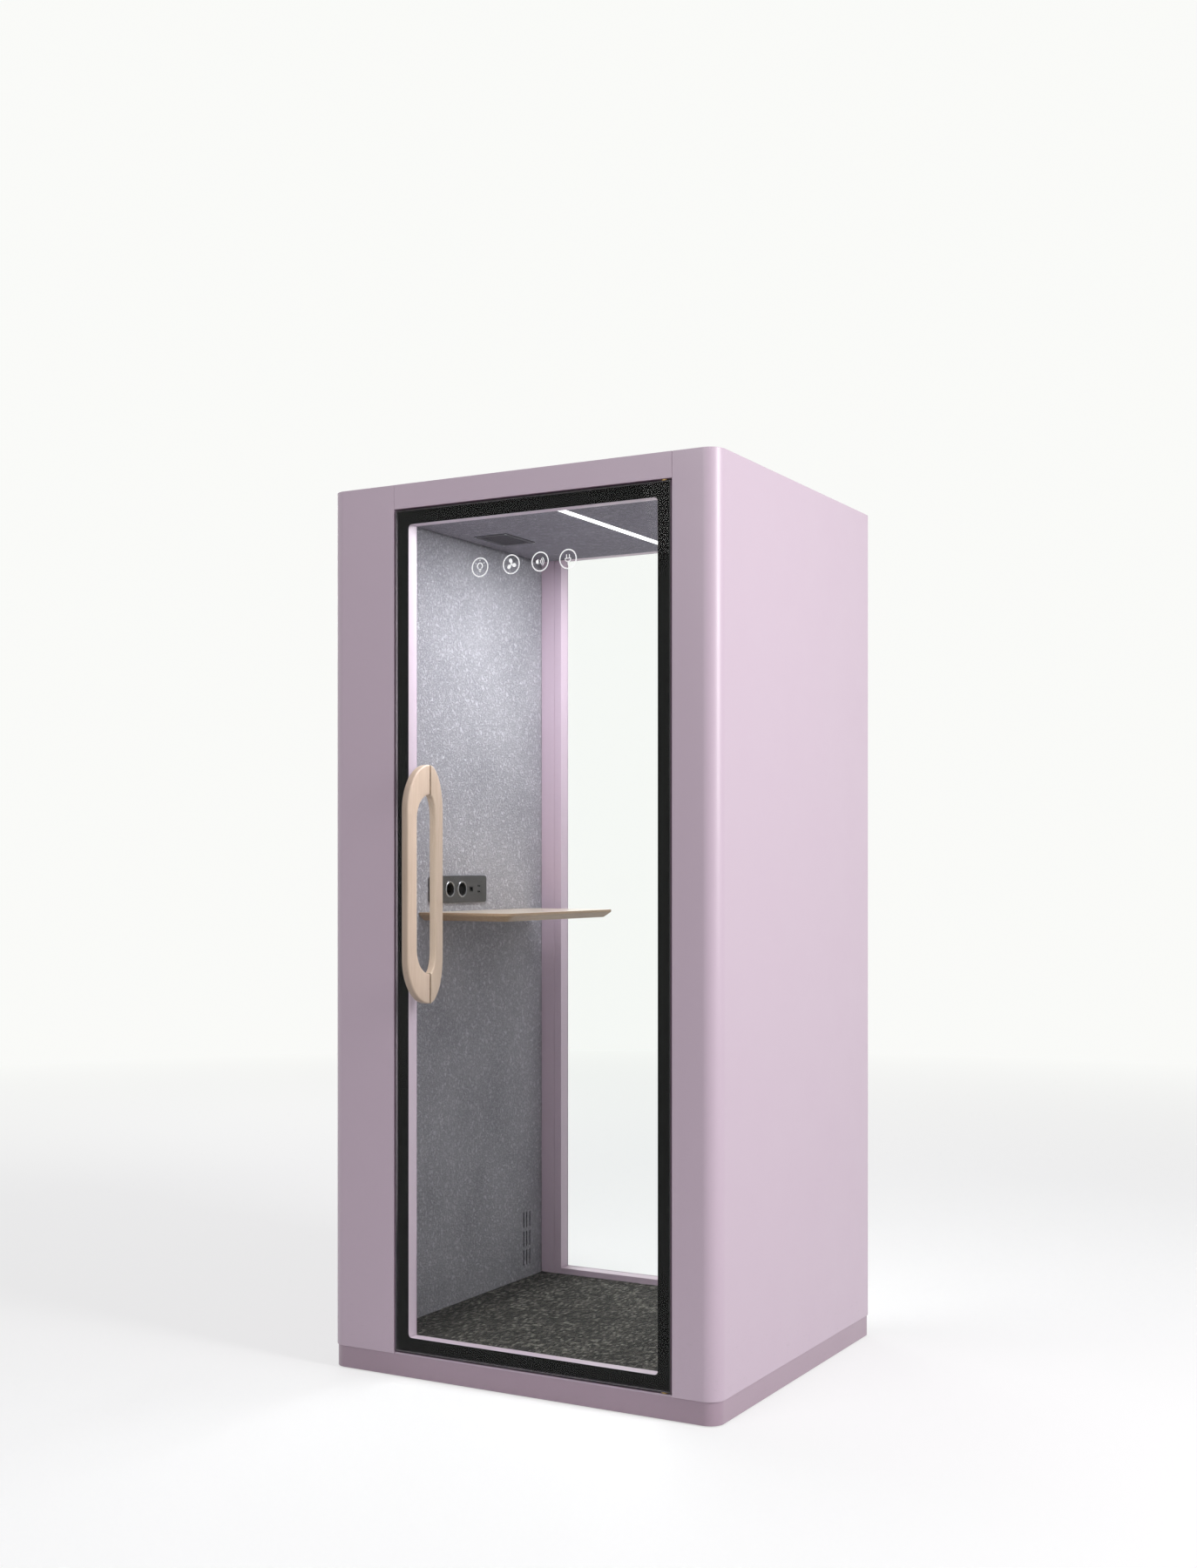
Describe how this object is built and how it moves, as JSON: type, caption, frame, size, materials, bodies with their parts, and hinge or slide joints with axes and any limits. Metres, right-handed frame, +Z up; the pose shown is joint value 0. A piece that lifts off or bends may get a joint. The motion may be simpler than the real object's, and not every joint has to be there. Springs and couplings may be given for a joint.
{
  "type": "acoustic office pod",
  "caption": "Free-standing acoustic pod for one person with a flush glazed swing door, ring handle, felt lining, shelf with sockets, light strip and fans.",
  "frame": {"origin": "on the floor, under the middle of the footprint: the sole of the centre foot", "axes": "+Z up, +X to the right and +Y into the pod as seen by someone in front of the door"},
  "size_m": [1.1, 1.084, 2.25],
  "materials": {
    "lilac_paint": "satin",
    "leaf_frame": "satin",
    "dark_steel": "satin",
    "bright_steel": "brushed",
    "bronze": "satin",
    "rubber": "matte",
    "board": "matte",
    "fleece": "matte",
    "wall_felt": "matte",
    "ceiling_felt": "matte",
    "carpet": "matte",
    "black_band": "gloss",
    "clear_glass": "gloss",
    "pale_wood": "satin",
    "shelf_wood": "satin",
    "plate_grey": "satin",
    "socket_black": "satin",
    "opal": "matte",
    "aluminium": "satin",
    "grille_grey": "matte",
    "fan_black": "satin",
    "driver_white": "satin"
  },
  "bodies": {
    "pod": {"plinth": "lilac_paint", "base_board": "board", "foot_front_left": "dark_steel", "foot_front_right": "dark_steel", "foot_rear_left": "dark_steel", "foot_rear_right": "dark_steel", "foot_centre": "dark_steel", "floor_deck": "board", "carpet": "carpet", "power_inlet": "socket_black", "left_shell": "lilac_paint", "right_shell": "lilac_paint", "left_core": "fleece", "right_core": "fleece", "left_felt": "wall_felt", "right_felt": "wall_felt", "left_jamb": "lilac_paint", "right_jamb": "lilac_paint", "header": "lilac_paint", "threshold": "leaf_frame", "rear_left_stile": "lilac_paint", "rear_right_stile": "lilac_paint", "rear_top_rail": "lilac_paint", "rear_bottom_rail": "lilac_paint", "rear_glass": "clear_glass", "rear_gasket": "rubber", "roof_cover": "lilac_paint", "roof_core": "fleece", "ceiling_panel": "ceiling_felt", "light_channel": "aluminium", "light_diffuser": "opal", "light_driver": "driver_white", "intake_grille": "grille_grey", "exhaust_grille": "grille_grey", "intake_fan_frame": "fan_black", "exhaust_fan_frame": "fan_black", "table_top": "shelf_wood", "table_bracket": "dark_steel", "socket_plate": "plate_grey", "socket_block": "socket_black", "port_block": "socket_black", "pivot_bush_bottom": "bronze", "pivot_bush_top": "bronze", "door_seal": "rubber", "magnet_catch": "dark_steel"},
    "door": {"door_lock_stile": "leaf_frame", "door_hinge_stile": "leaf_frame", "door_top_rail": "leaf_frame", "door_bottom_rail": "leaf_frame", "door_glass": "clear_glass", "door_band": "black_band", "pivot_pin_bottom": "bright_steel", "pivot_pin_top": "bright_steel", "handle_outer": "pale_wood", "handle_inner": "pale_wood", "handle_bolt_lower": "bright_steel", "handle_bolt_upper": "bright_steel"},
    "intake_rotor": {"intake_fan_rotor": "fan_black"},
    "exhaust_rotor": {"exhaust_fan_rotor": "fan_black"}
  },
  "joints": [
    {"name": "door_hinge", "type": "hinge", "parent": "pod", "child": "door", "pos_m": [0.408, -0.481, 1.125], "axis": [0, 0, 1], "range_deg": [0, 105]},
    {"name": "intake_fan_spin", "type": "hinge", "parent": "pod", "child": "intake_rotor", "pos_m": [-0.345, 0.02, 2.2168], "axis": [0, 0, 1], "continuous": true},
    {"name": "exhaust_fan_spin", "type": "hinge", "parent": "pod", "child": "exhaust_rotor", "pos_m": [0.345, 0.02, 2.2168], "axis": [0, 0, 1], "continuous": true}
  ]
}
